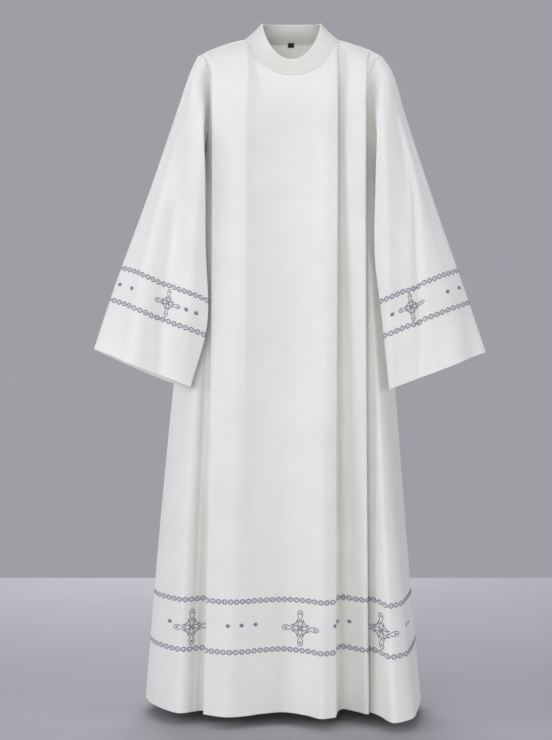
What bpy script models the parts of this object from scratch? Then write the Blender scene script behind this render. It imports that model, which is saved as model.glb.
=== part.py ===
"""An alb: a full-length white robe with wide sleeves, filled out as it hangs when it is worn.

It is cut as a front, a back, two sleeves and a stand collar. The front is laid in three knife
pleats: one near each shoulder point, and one that springs from the right end of the collar.
Everything is open: neck, hem, cuffs and armholes.

+Z is up and the front faces -Y. The origin is between the shoulders, where the wearer holds
the robe up. The tables give real sizes in millimetres, as across (towards +X), forward
(towards -Y) and up.
"""

import math
from collections import namedtuple

import bpy
import numpy as np

MM = 0.001

# Cloth
WALL = 1.3
COLLAR_WALL = 2.0
SEAM_GAP = 0.3
END_SEAM_GAP = 0.9  # between the middles of two walls that meet end to end
TURNED_SEAM_GAP = 1.3  # between the middles of two walls that meet at an angle
ARMPIT_SEAM_MORE = 1.0

# Heights of the levels at which the tables give the robe's cross-section
CHEST = -300.0
HIP = -800.0
HEM = -1454.0

# Neck and shoulders
NECK_CENTRE = 3.0
NECK_HALF_WIDTH = 100.0
NECK_FRONT = 105.5
NECK_SQUARENESS = 0.75  # 1 is an ellipse, and lower is squarer
NECK_BACK = 75.0
NECK_SIDE_UP = 5.0
NECK_FRONT_UP = -90.0
NECK_BACK_UP = 10.0
COLLAR_HALF_WIDTH = 65.0
COLLAR_FRONT = 78.0
COLLAR_BACK = 62.0
COLLAR_SIDE_UP = 42.0
COLLAR_FRONT_UP = -54.0
COLLAR_BACK_UP = 50.0
SHOULDER_SEAM_FORWARD = 42.0
SEAM_FORWARD_AT_NECK = 30.0
SHOULDER_SEAM_TURN = 20.0  # degrees past the ridge at which the cloth reaches the seam
SHOULDER_SETTLE = -180.0  # height at which the cloth below the shoulder hangs straight

# Armholes
ARMHOLE_OUT = 204.5
ARMHOLE_NOTCH = 31.0
ARMHOLE_TOP_UP = -36.0
ARMHOLE_PIT_UP = -290.0
ARMHOLE_FRONT = 84.0
ARMHOLE_BACK = 88.0
ARMPIT_SETTLE = -310.0

# Folds
PRESSED_RADIUS = 1.7  # of a fold where it is sewn into a seam
CHEST_RADIUS = 3.0
HEM_RADIUS = 4.0

# Label
LABEL_WIDTH = 14.0
LABEL_LENGTH = 11.0
LABEL_BELOW_SEAM = 1.5
LABEL_WALL = 0.8

# Colours, linear
WHITE = (0.86, 0.86, 0.85)
BLACK = (0.02, 0.02, 0.022)

# How finely the surfaces are divided
ROWS_ABOVE = 6
ROWS_BELOW = 11
SLEEVE_ROUND = 28
SLEEVE_RINGS = (3, 2, 3, 3, 2)
COLLAR_ROUND = 48
COLLAR_ROWS = 4

# One row for each line of the cloth that runs from the top edge down to the hem.
#   top: where it starts: on the left or right armhole (degrees round it from the shoulder's top
#        line, above 0 by the front), on the shoulder seam (across, layers of cloth above it) or
#        on the neckline (degrees from its right side, above 0 by the front)
#   chest, hip, hem: across and forward at those levels;  drop: how far it hangs below the hem
#   side, turn: for a folded edge, the way its tip points (+1 is +X) and the way the cloth
#        then turns (+1 is forward). Both are 0 where the cloth only curves.
#   cells: how many strips the cloth has up to the next line
#   shut: whether a fold is still shut at the hem (1), or has rolled open there (0)
Line = namedtuple("Line", "name top chest hip hem drop side turn cells shut", defaults=[1])

FRONT_LINES = (
    Line("side_left", ("left", 180), (-206, -10), (-262, -10), (-320, -18), 0, 0, 0, 3),
    Line("flank_left", ("left", 140), (-188, 56), (-249, 60), (-297, 62), 0, 0, 0, 3),
    Line("crest_left", ("left", 100), (-174, 79), (-209, 116), (-238, 150), 0, 0, 0, 2),
    Line("notch_left", ("left", 60), (-163, 90), (-195, 117), (-222, 146), 0, 0, 0, 2),
    Line("point_left", ("left", 22), (-159, 95), (-186, 111), (-206, 124), 0, 0, 0, 1),
    Line("end_left", ("seam", -184, 0.3), (-156, 98), (-181, 111), (-200, 123), 0, 0, 0, 2),
    Line("under_left", ("seam", -171, 2), (-152, 101), (-165, 112), (-176, 126), 0, 0, 0, 2),
    Line("tuck_left", ("seam", -148, 1.5), (-138, 108), (-142, 126), (-148, 142), 0, 1, 1, 2),
    Line("pleat_left", ("seam", -171.5, 0.5), (-168, 124), (-170.5, 141), (-184.5, 160), 0, -1, 1, 5),
    Line("ridge_left", ("seam", -120, 0), (-108, 133), (-119, 157), (-136, 192), 0, 0, 0, 3),
    Line("neck_left", ("neck", 169), (-90, 131), (-92, 152), (-99, 182), 0, 0, 0, 3),
    Line("throat_left", ("neck", 135), (-66, 126), (-62, 143), (-64, 161), 0, 0, 0, 4),
    Line("valley", ("neck", 92), (-6, 121), (-12, 134), (-18, 140), 0, 0, 0, 4),
    Line("throat_right", ("neck", 52), (50, 126), (42, 147), (34, 174), 0, 0, 0, 3),
    Line("ridge_right", ("neck", 30), (76, 130), (70, 161), (63, 209), 0, 0, 0, 2),
    Line("neck_right", ("neck", 12), (92, 128), (88, 158), (82, 201), 0, 0, 0, 2),
    Line("pleat_middle", ("seam", 105, 0.5), (101, 124), (97.5, 151), (94.5, 187), 0, 1, -1, 2, 0),
    Line("tuck_middle", ("seam", 99, 1.5), (80, 108), (82, 131), (99, 145), 0, -1, -1, 2, 0),
    Line("recess", ("seam", 111, 1.5), (104, 99), (107, 101), (112, 108), 0, 0, 0, 3),
    Line("panel_right", ("seam", 126, 0.2), (132, 116), (133, 130), (140, 134), 0, 0, 0, 3),
    Line("pleat_right", ("seam", 172, 0.5), (161.5, 122), (161.5, 138), (166, 158), 0, 1, -1, 2),
    Line("tuck_right", ("seam", 151, 1.5), (135, 105), (136, 116), (142, 118), 0, -1, -1, 2),
    Line("under_right", ("seam", 171.5, 2), (149, 98), (158, 110), (163, 133), 0, 0, 0, 2),
    Line("end_right", ("seam", 184, 0.3), (153, 96), (168, 115), (178, 155), 0, 0, 0, 1),
    Line("point_right", ("right", 22), (156, 94), (176, 122), (190, 180), 1, 0, 0, 3),
    Line("notch_right", ("right", 60), (162, 89), (187, 130), (213, 229), 4, 0, 0, 2),
    Line("crest_right", ("right", 100), (174, 78), (201, 110), (252, 199), 2, 0, 0, 3),
    Line("flank_right", ("right", 140), (188, 56), (218, 62), (270, 130), 0, 0, 0, 3),
    Line("side_right", ("right", 180), (205, -10), (236, -10), (290, -8), 0, 0, 0, 0),
)

# The same for the back, whose forward sizes are below zero. It hangs in soft flutes.
BACK_LINES = (
    Line("side_left", ("left", -180), (-206, -10), (-262, -10), (-320, -18), 0, 0, 0, 3),
    Line("flank_left", ("left", -140), (-197, -67), (-251, -74), (-304, -104), 0, 0, 0, 3),
    Line("blade_left", ("left", -95), (-189, -92), (-232, -112), (-276, -144), 0, 0, 0, 2),
    Line("cap_left", ("left", -50), (-176, -103), (-210, -118), (-242, -152), 0, 0, 0, 2),
    Line("point_left", ("left", 0), (-171, -108), (-196, -125), (-220, -168), 0, 0, 0, 1),
    Line("front_left", ("left", 22), (-165, -109), (-184, -132), (-202, -186), 0, 0, 0, 1),
    Line("end_left", ("seam", -184, 0.2), (-161, -110), (-178, -137), (-196, -196), 0, 0, 0, 1),
    Line("flute_left", ("seam", -160, 0), (-150, -112), (-160, -150), (-176, -214), 0, 0, 0, 3),
    Line("hollow_left", ("seam", -120, 0), (-134, -112), (-130, -128), (-138, -158), 0, 0, 0, 2),
    Line("corner_left", ("neck", 169), (-117, -113), (-115, -136), (-114, -182), 0, 0, 0, 2),
    Line("neck_left", ("neck", 190), (-96, -115), (-88, -150), (-90, -208), 0, 0, 0, 3),
    Line("nape_left", ("neck", 220), (-58, -116), (-54, -130), (-52, -160), 0, 0, 0, 3),
    Line("half_left", ("neck", 244), (-30, -117), (-27, -138), (-24, -180), 0, 0, 0, 2),
    Line("nape", ("neck", 270), (1, -117), (2, -148), (5, -204), 0, 0, 0, 2),
    Line("half_right", ("neck", 296), (32, -117), (32, -138), (34, -180), 0, 0, 0, 3),
    Line("nape_right", ("neck", 320), (60, -116), (60, -129), (60, -158), 0, 0, 0, 3),
    Line("neck_right", ("neck", 350), (97, -115), (90, -149), (94, -206), 0, 0, 0, 2),
    Line("corner_right", ("neck", 371), (118, -113), (112, -136), (116, -182), 0, 0, 0, 2),
    Line("hollow_right", ("seam", 120, 0), (133, -112), (128, -128), (138, -157), 0, 0, 0, 3),
    Line("flute_right", ("seam", 160, 0), (148, -112), (156, -149), (174, -210), 0, 0, 0, 1),
    Line("end_right", ("seam", 184, 0.2), (157, -110), (168, -136), (189, -188), 0, 0, 0, 1),
    Line("front_right", ("right", 22), (161, -109), (173, -131), (195, -178), 0, 0, 0, 1),
    Line("point_right", ("right", 0), (168, -108), (183, -123), (210, -160), 0, 0, 0, 2),
    Line("cap_right", ("right", -50), (174, -103), (196, -116), (230, -146), 0, 0, 0, 2),
    Line("blade_right", ("right", -95), (188, -92), (211, -110), (254, -136), 0, 0, 0, 3),
    Line("flank_right", ("right", -140), (196, -67), (227, -72), (278, -94), 0, 0, 0, 3),
    Line("side_right", ("right", -180), (205, -10), (236, -10), (290, -8), 0, 0, 0, 0),
)

# One row for each section of a sleeve below the armhole: out, forward and up of the line over
# the arm, of the front, of the folded edge next to the body, of the underarm seam, of the back.
Section = namedtuple("Section", "name over front edge under back")

LEFT_SLEEVE = (
    Section("cap", (221, 5, -72), (209, 99, -108), (184, 113, -205), (236, 2, -300), (233, -90, -162)),
    Section("upper", (255, 10, -172), (222, 122, -212), (182, 128, -312), (248, 14, -364), (260, -76, -256)),
    Section("elbow", (314, 28, -350), (256, 140, -385), (181, 131, -460), (240, 52, -482), (292, -18, -405)),
    Section("forearm", (384, 50, -548), (282, 154, -586), (178, 132, -630), (228, 92, -610), (308, 56, -582)),
    Section("cuff", (427, 60, -681), (322, 154, -720), (213, 130, -762), (250, 98, -750), (342, 68, -714)),
)
RIGHT_SLEEVE = (
    Section("cap", (227, 5, -72), (209, 99, -108), (184, 113, -205), (236, 2, -300), (233, -90, -162)),
    Section("upper", (257, 10, -172), (222, 122, -212), (182, 128, -312), (246, 14, -364), (260, -76, -256)),
    Section("elbow", (313, 28, -350), (256, 140, -392), (180, 131, -482), (236, 52, -490), (290, -18, -405)),
    Section("forearm", (379, 50, -548), (284, 154, -582), (195, 131, -614), (232, 92, -604), (304, 56, -578)),
    Section("cuff", (425, 60, -687), (318, 154, -726), (211, 130, -767), (248, 98, -755), (340, 68, -719)),
)


def turned(degrees):
    """Sine and cosine of an angle, neither of them a hair below zero."""
    return math.sin(math.radians(degrees)), math.cos(math.radians(degrees))


def point(across, forward, up):
    return np.array((across, -forward, up))


def ridge_up(across):
    """Height of the shoulder's top line."""
    out = abs(across) - 104
    return 4 - 0.235 * out - 0.0011 * out**2 - 0.006 * max(0, out - 71) ** 2


def armhole_down(degrees):
    """How far down the armhole an angle is, from 0 at the shoulder to 1 at the armpit."""
    return ((1 - math.cos(math.radians(degrees))) / 2) ** 1.33


def armhole(degrees, side):
    """A point of the armhole. 0 degrees is the shoulder's top line, and above 0 goes round by the front."""
    sine = turned(degrees)[0]
    down = armhole_down(degrees)
    reach, notch = (ARMHOLE_FRONT, ARMHOLE_NOTCH) if sine > 0 else (-ARMHOLE_BACK, ARMHOLE_NOTCH / 2)
    out = ARMHOLE_OUT - notch * abs(sine) ** 1.3
    forward = reach * abs(sine) ** 0.7 - 5 * down
    return point(side * out, forward, ARMHOLE_TOP_UP + (ARMHOLE_PIT_UP - ARMHOLE_TOP_UP) * down)


def ring_point(degrees, half_width, front, back, ups, power):
    """A ring round the neck: 0 degrees is the right side, 90 the front, and below 0 the back."""
    sine, cosine = turned(degrees)
    side_up, front_up, back_up = ups
    across, reach = NECK_CENTRE + half_width * cosine, abs(sine) ** NECK_SQUARENESS
    if sine >= 0:
        return point(across, front * reach, side_up + (front_up - side_up) * sine**power)
    return point(across, -back * reach, side_up - (back_up - side_up) * sine)


def neckline(degrees):
    ups = (NECK_SIDE_UP, NECK_FRONT_UP, NECK_BACK_UP)
    return ring_point(degrees, NECK_HALF_WIDTH, NECK_FRONT, NECK_BACK, ups, 1.3)


def collar_edge(degrees):
    ups = (COLLAR_SIDE_UP, COLLAR_FRONT_UP, COLLAR_BACK_UP)
    return ring_point(degrees, COLLAR_HALF_WIDTH, COLLAR_FRONT, COLLAR_BACK, ups, 1.25)


def seam_forward(across):
    """How far the shoulder seam is in front of the shoulder's top line."""
    return SEAM_FORWARD_AT_NECK + (SHOULDER_SEAM_FORWARD - SEAM_FORWARD_AT_NECK) * (abs(across) - 95) / 105


def shoulder_seam(across, layers):
    """A point of the shoulder seam, under that many layers of the pleats."""
    sine, cosine = turned(SHOULDER_SEAM_TURN)
    below = layers * 2 * PRESSED_RADIUS
    fall = (ridge_up(across) - SHOULDER_SETTLE) * (1 - cosine)
    return point(across, seam_forward(across) - below * sine, ridge_up(across) - fall - below * cosine)


def edge_point(place, value, layers, behind):
    """A point of a panel's top edge."""
    if place == "seam":
        start = shoulder_seam(value, layers)
    elif place == "neck":
        start = neckline(value)
    else:
        start = armhole(value, 1 if place == "right" else -1)
    if behind:
        start[1] += END_SEAM_GAP * (place == "seam" or value == -180 or start[1] < 0)
    return start


def top_of(line, behind):
    """The turn of the cloth in degrees past the ridge where a line starts, and where it hangs straight."""
    place, value = line.top[:2]
    if place == "seam":
        return -SHOULDER_SEAM_TURN if behind else SHOULDER_SEAM_TURN, SHOULDER_SETTLE
    start = edge_point(place, value, 0, behind)
    down = 0.0 if place == "neck" else armhole_down(value)
    settle = SHOULDER_SETTLE + (ARMPIT_SETTLE - SHOULDER_SETTLE) * down
    if behind and start[1] < 0:
        return SHOULDER_SEAM_TURN * start[1] / seam_forward(start[0]), settle
    natural = 0.0
    if abs(value) < 150 or place == "neck":
        natural = math.degrees(math.asin(min(0.9, -start[1] / line.chest[1])))
    return max(natural, 75 * down), settle


def smooth_curve(knots, cells, closed=False):
    """Points of a smooth curve through the knots, with the given number of cells between each two."""
    knots = [np.array(knot, float) for knot in knots]
    if closed:
        knots = [knots[-1], *knots, knots[0], knots[1]]
    else:
        knots = [2 * knots[0] - knots[1], *knots, 2 * knots[-1] - knots[-2]]
    curve = []
    for index, count in enumerate(cells):
        a, b, c, d = knots[index : index + 4]
        steps = [max(np.linalg.norm(q - p), 1e-6) ** 0.5 for p, q in ((a, b), (b, c), (c, d))]
        times = np.cumsum([0, *steps])
        for cell in range(count):
            t = times[1] + (times[2] - times[1]) * cell / count
            first = [
                ((times[i + 1] - t) * p + (t - times[i]) * q) / (times[i + 1] - times[i])
                for i, (p, q) in enumerate(((a, b), (b, c), (c, d)))
            ]
            second = [
                ((times[i + 2] - t) * first[i] + (t - times[i]) * first[i + 1]) / (times[i + 2] - times[i])
                for i in range(2)
            ]
            curve.append(((times[2] - t) * second[0] + (t - times[1]) * second[1]) / (times[2] - times[1]))
    if not closed:
        curve.append(knots[-2])
    return curve


def across_lines(lines, places, outward, radius, at_hem=False):
    """The cloth's curve across the lines, through a place on each, rounded where the cloth is folded."""
    knots, cells = [], []
    for line, place in zip(lines, places):
        if line.side:
            hook = line.shut if at_hem else 1
            in_from_tip = np.array((-line.side * radius * hook, 0, 0))
            knots += [
                place + in_from_tip - line.turn * radius * outward,
                place,
                place + in_from_tip + line.turn * radius * outward,
            ]
            cells += [2, 2, line.cells]
        else:
            knots.append(place)
            cells.append(line.cells)
    return smooth_curve(knots, cells[:-1])


def between_lines(lines, values):
    """A value for each column of the cloth, in even steps between the values of the lines."""
    spread = []
    for line, value, following in zip(lines, values, [*values[1:], values[-1]]):
        spread += [value] * (4 if line.side else 0)
        spread += [value + (following - value) * cell / line.cells for cell in range(line.cells)]
    return [*spread, values[-1]]


def top_edge(lines, behind):
    """A panel's top edge. It lies exactly on the armholes and the neckline, with a corner at their ends."""
    sine, cosine = turned(SHOULDER_SEAM_TURN)
    outward = np.array((0, sine if behind else -sine, cosine))
    starts = [edge_point(line.top[0], line.top[1], line.top[-1], behind) for line in lines]
    edge = across_lines(lines, starts, outward, PRESSED_RADIUS)
    index = 0
    for line, following in zip(lines, lines[1:]):
        index += 4 if line.side else 0
        for cell in range(1, line.cells):
            share = cell / line.cells
            if line.top[0] != following.top[0]:
                edge[index + cell] = edge[index] * (1 - share) + edge[index + line.cells] * share
            elif line.top[0] != "seam":
                value = line.top[1] + (following.top[1] - line.top[1]) * share
                edge[index + cell] = edge_point(line.top[0], value, 0, behind)
        index += line.cells
    return edge


def panel_rows(lines, behind):
    """The points of a panel, row by row from its top edge to its hem."""
    starts = np.array(top_edge(lines, behind))
    tops = [top_of(line, behind) for line in lines]
    start_turns = between_lines(lines, [top[0] for top in tops])
    settles = between_lines(lines, [top[1] for top in tops])
    drops = between_lines(lines, [line.drop for line in lines])
    outward = np.array((0, 1.0 if behind else -1.0, 0))
    hip_share = (CHEST - HIP) / (CHEST - HEM)
    gap = np.array((0, END_SEAM_GAP if behind else 0.0, 0))
    hip_radius = CHEST_RADIUS + (HEM_RADIUS - CHEST_RADIUS) * hip_share
    chests, hips, hems = (
        [point(*place, 0) + gap for place in places]
        for places in zip(*((line.chest, line.hip, line.hem) for line in lines))
    )
    chest = np.array(across_lines(lines, chests, outward, CHEST_RADIUS))
    hip = np.array(across_lines(lines, hips, outward, hip_radius))
    hem = np.array(across_lines(lines, hems, outward, HEM_RADIUS, at_hem=True))
    bend = ((hip - chest) - (hem - chest) * hip_share) / (hip_share**2 - hip_share)

    def hanging(column, up):
        share = max(0.0, (CHEST - up) / (CHEST - HEM))
        place = chest[column] + (hem[column] - chest[column] - bend[column]) * share + bend[column] * share**2
        return np.array((place[0], place[1], up))

    rows = []
    for row in range(ROWS_ABOVE + ROWS_BELOW + 1):
        places = []
        for column, (start, start_turn, settle) in enumerate(zip(starts, start_turns, settles)):
            if row > ROWS_ABOVE:
                share = (row - ROWS_ABOVE) / ROWS_BELOW
                places.append(hanging(column, settle + (HEM - drops[column] - settle) * share))
                continue
            start_sine, start_cosine = turned(start_turn)
            sine, cosine = turned(start_turn + (90 - start_turn) * row / ROWS_ABOVE)
            up = start[2] - (start[2] - settle) * (start_cosine - cosine) / start_cosine
            place = hanging(column, up) + (start - hanging(column, start[2])) * (1 - sine) / (1 - start_sine)
            place[2] = up
            places.append(place)
        rows.append(places)
    return np.array(rows)


def sleeve_rings(sections, side):
    """The points of a sleeve, ring by ring from the armhole to the cuff."""
    first = []
    for index in range(SLEEVE_ROUND):
        degrees = 360 * index / SLEEVE_ROUND
        sine, cosine = turned(degrees)
        gap = TURNED_SEAM_GAP + ARMPIT_SEAM_MORE * ((1 - cosine) / 2) ** 2
        first.append(armhole(degrees, side) + gap * np.array((side, -0.6 * sine, 0)))
    rings = [first]
    for section in sections:
        knots = [point(side * out, forward, up) for out, forward, up in section[1:]]
        rings.append(smooth_curve(knots, (4, 4, 6, 7, 7), closed=True))
    strips = [smooth_curve(strip, SLEEVE_RINGS) for strip in zip(*rings)]
    return np.array(strips).transpose(1, 0, 2)


def collar_rings():
    """The points of the collar, ring by ring from the neck seam up to its free edge."""
    rings = []
    for row in range(COLLAR_ROWS + 1):
        share = row / COLLAR_ROWS
        ring = []
        for index in range(COLLAR_ROUND):
            degrees = 360 * index / COLLAR_ROUND
            seam, edge = neckline(degrees), collar_edge(degrees)
            lean = (edge - seam) / np.linalg.norm(edge - seam)
            hollow = (seam - NECK_CENTRE * np.array((1, 0, 0))) * (1, 1, 0)
            seam = seam + TURNED_SEAM_GAP * lean
            ring.append(seam + (edge - seam) * share - hollow * 0.05 * math.sin(math.pi * share))
        rings.append(ring)
    return np.array(rings)


def label_rows(back_rows):
    """The points of the neck label, from those of the back that it is sewn to, moved in."""
    top, below = back_rows[0], back_rows[1]
    middle = int(np.argmin(abs(top[:, 0] - NECK_CENTRE)))
    down = below[middle] - top[middle]
    down = down / np.linalg.norm(down)
    inward = np.cross(down, (1, 0, 0))
    inward = inward if inward[1] < 0 else -inward
    start = top[middle] + down * LABEL_BELOW_SEAM + inward * (WALL / 2 + SEAM_GAP + LABEL_WALL)
    rows = []
    for row in (0.0, 0.5, 1.0):
        left_end = start + down * LABEL_LENGTH * row
        rows.append([left_end + np.array((x * LABEL_WIDTH, 0, 0)) for x in (-0.5, 0.0, 0.5)])
    return np.array(rows)


def fabric(name, colour, roughness):
    material = bpy.data.materials.new(name)
    material.use_nodes = True
    shader = material.node_tree.nodes["Principled BSDF"]
    shader.inputs["Base Color"].default_value = (*colour, 1)
    shader.inputs["Roughness"].default_value = roughness
    shader.inputs["Metallic"].default_value = 0
    return material


def cloth(name, rows, wall, colour, roughness, closed=False):
    """A named wall of cloth on a grid of points, closed round each row if it is a tube."""
    height, width = rows.shape[:2]
    faces = []
    for row in range(height - 1):
        for column in range(width if closed else width - 1):
            following = (column + 1) % width
            faces.append(
                (
                    row * width + column,
                    (row + 1) * width + column,
                    (row + 1) * width + following,
                    row * width + following,
                )
            )
    mesh = bpy.data.meshes.new(name)
    mesh.from_pydata((rows.reshape(-1, 3) * MM).tolist(), [], faces)
    mesh.shade_smooth()
    mesh.materials.append(fabric(name + " cloth", colour, roughness))
    made = bpy.data.objects.new(name, mesh)
    alb.objects.link(made)
    solid = made.modifiers.new("cloth thickness", "SOLIDIFY")
    solid.thickness = wall * MM
    solid.offset = 0
    return made


for leftover in list(bpy.data.objects):
    bpy.data.objects.remove(leftover)
alb = bpy.data.collections.new("alb")
bpy.context.scene.collection.children.link(alb)

back_points = panel_rows(BACK_LINES, behind=True)
cloth("front", panel_rows(FRONT_LINES, behind=False), WALL, WHITE, 0.7)
cloth("back", back_points, WALL, WHITE, 0.7)
cloth("sleeve_left", sleeve_rings(LEFT_SLEEVE, -1), WALL, WHITE, 0.7, closed=True)
cloth("sleeve_right", sleeve_rings(RIGHT_SLEEVE, 1), WALL, WHITE, 0.7, closed=True)
cloth("collar", collar_rings(), COLLAR_WALL, WHITE, 0.7, closed=True)
cloth("label", label_rows(back_points), LABEL_WALL, BLACK, 0.6)
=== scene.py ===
"""An alb, finished: white crepe with its pleats and creases, its stitching and embroidered bands.

The pieces hang on the same lines as the part's solids, cut finer and thinner. +Z is up, the front
faces -Y, and the tables give real sizes in millimetres as across, forward and up.
"""

import math
from collections import namedtuple

import bmesh
import bpy
import numpy as np
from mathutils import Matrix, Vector


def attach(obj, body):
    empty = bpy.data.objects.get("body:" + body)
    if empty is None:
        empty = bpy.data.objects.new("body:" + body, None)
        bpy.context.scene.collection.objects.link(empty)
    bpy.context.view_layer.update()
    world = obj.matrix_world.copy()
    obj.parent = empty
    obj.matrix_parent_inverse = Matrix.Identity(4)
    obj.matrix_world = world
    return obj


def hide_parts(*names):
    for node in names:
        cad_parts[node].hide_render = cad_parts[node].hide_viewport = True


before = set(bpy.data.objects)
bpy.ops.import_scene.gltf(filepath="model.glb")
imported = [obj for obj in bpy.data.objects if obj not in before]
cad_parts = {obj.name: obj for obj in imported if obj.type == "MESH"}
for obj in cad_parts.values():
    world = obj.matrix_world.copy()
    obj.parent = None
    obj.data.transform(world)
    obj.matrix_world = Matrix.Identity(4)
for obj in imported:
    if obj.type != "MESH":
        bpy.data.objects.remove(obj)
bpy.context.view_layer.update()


# ---- Front -----------------------------------------------
# One width of white crepe from side seam to side seam, laid in three knife pleats. They are caught
# in the shoulder seams, pressed down their length, and fall open to deep folds at the hem.

MM = 0.001
CLOTH_THICKNESS = 0.8
SEAM_GAP = 0.15

CHEST = -300.0
HIP = -800.0
HEM = -1454.0

NECK_CENTRE = 3.0
NECK_HALF_WIDTH = 100.0
NECK_FRONT = 105.5
NECK_SQUARENESS = 0.75
NECK_BACK = 75.0
NECK_UPS = (5.0, -90.0, 10.0)
NECK_DIP = 1.3
SHOULDER_NECK_UP = 4.0
SHOULDER_NECK_OUT = 104.0
SHOULDER_SLOPE = 0.235
SHOULDER_BEND = 0.0011
SHOULDER_POINT_OUT = 175.0
SHOULDER_POINT_BEND = 0.006
SHOULDER_SEAM_OUT = (95.0, 200.0)
SHOULDER_SEAM_FORWARD = (30.0, 42.0)
SHOULDER_SEAM_TURN = 20.0
SHOULDER_SETTLE = -180.0
ARMHOLE_OUT = 204.5
ARMHOLE_NOTCH_FRONT = 31.0
ARMHOLE_NOTCH_BACK = 15.5
ARMHOLE_NOTCH_POWER = 1.3
ARMHOLE_TOP_UP = -36.0
ARMHOLE_PIT_UP = -290.0
ARMHOLE_FALL_POWER = 1.33
ARMHOLE_FRONT = 84.0
ARMHOLE_BACK = 88.0
ARMHOLE_SQUARENESS = 0.7
ARMPIT = 180
ARMPIT_FROM = 150
ARMPIT_BACKWARD = 5.0
ARMPIT_TURN = 75.0
ARMPIT_SETTLE = -310.0
STEEPEST_START = 0.9

PRESSED_RADIUS = 0.9
CHEST_RADIUS = 3.0
HEM_RADIUS = 4.0
FOLD_CELLS = 4
FINER_ACROSS = 4
CREASE_CELLS = 8
MERGED_WITHIN = 0.01
TINY = 1e-6
ROWS_ABOVE = 24
ROWS_BELOW = 72

# A line of the cloth from the top edge to the hem: where it starts (a seam's lines also say under
# how many layers), where it passes the chest, the hip and the hem as across and forward, and how
# many cells of cloth follow it. A folded edge also has the way its tip points, the way the cloth
# then turns, and whether it is still shut at the hem (1) or has rolled open (0). A few lines drop
# below the hem.
Line = namedtuple("Line", "name top chest hip hem cells side turn shut drop", defaults=(0, 0, 1, 0))

FRONT_LINES = (
    Line("side_left", ("left", 180), (-206, -10), (-262, -10), (-320, -18), 3),
    Line("flank_left", ("left", 140), (-188, 56), (-249, 60), (-297, 62), 3),
    Line("crest_left", ("left", 100), (-174, 79), (-209, 116), (-238, 150), 2),
    Line("notch_left", ("left", 60), (-163, 90), (-195, 117), (-222, 146), 2),
    Line("point_left", ("left", 22), (-159, 95), (-186, 111), (-206, 124), 1),
    Line("end_left", ("seam", -184, 0.3), (-156, 98), (-181, 111), (-200, 123), 2),
    Line("under_left", ("seam", -171, 2), (-152, 101), (-165, 112), (-176, 126), 2),
    Line("tuck_left", ("seam", -148, 1.5), (-138, 108), (-142, 126), (-148, 142), 2, side=1, turn=1),
    Line("pleat_left", ("seam", -171.5, 0.5), (-168, 124), (-170.5, 141), (-184.5, 160), 5, side=-1, turn=1),
    Line("ridge_left", ("seam", -120, 0), (-108, 133), (-119, 157), (-136, 192), 3),
    Line("neck_left", ("neck", 169), (-90, 131), (-92, 152), (-99, 182), 3),
    Line("throat_left", ("neck", 135), (-66, 126), (-62, 143), (-64, 161), 4),
    Line("valley", ("neck", 92), (-6, 121), (-12, 134), (-18, 140), 4),
    Line("throat_right", ("neck", 52), (50, 126), (42, 147), (34, 174), 3),
    Line("ridge_right", ("neck", 30), (76, 130), (70, 161), (63, 209), 2),
    Line("neck_right", ("neck", 12), (92, 128), (88, 158), (82, 201), 2),
    Line(
        "pleat_middle", ("seam", 105, 0.5), (101, 124), (97.5, 151), (94.5, 187), 2, side=1, turn=-1, shut=0
    ),
    Line("tuck_middle", ("seam", 99, 1.5), (80, 108), (82, 131), (99, 145), 2, side=-1, turn=-1, shut=0),
    Line("recess", ("seam", 111, 1.5), (104, 99), (107, 101), (112, 108), 3),
    Line("panel_right", ("seam", 126, 0.2), (132, 116), (133, 130), (140, 134), 3),
    Line("pleat_right", ("seam", 172, 0.5), (161.5, 122), (161.5, 138), (166, 158), 2, side=1, turn=-1),
    Line("tuck_right", ("seam", 151, 1.5), (135, 105), (136, 116), (142, 118), 2, side=-1, turn=-1),
    Line("under_right", ("seam", 171.5, 2), (149, 98), (158, 110), (163, 133), 2),
    Line("end_right", ("seam", 184, 0.3), (153, 96), (168, 115), (178, 155), 1),
    Line("point_right", ("right", 22), (156, 94), (176, 122), (190, 180), 3, drop=1),
    Line("notch_right", ("right", 60), (162, 89), (187, 130), (213, 229), 2, drop=4),
    Line("crest_right", ("right", 100), (174, 78), (201, 110), (252, 199), 3, drop=2),
    Line("flank_right", ("right", 140), (188, 56), (218, 62), (270, 130), 3),
    Line("side_right", ("right", 180), (205, -10), (236, -10), (290, -8), 0),
)

# A soft crease or ridge: its run from top to bottom as across, up and depth (below 0 stands out),
# the width of its left and right flanks, and how pointed it is (2 is round, 1 is sharp).
Crease = namedtuple("Crease", "name run left right power")

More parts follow.
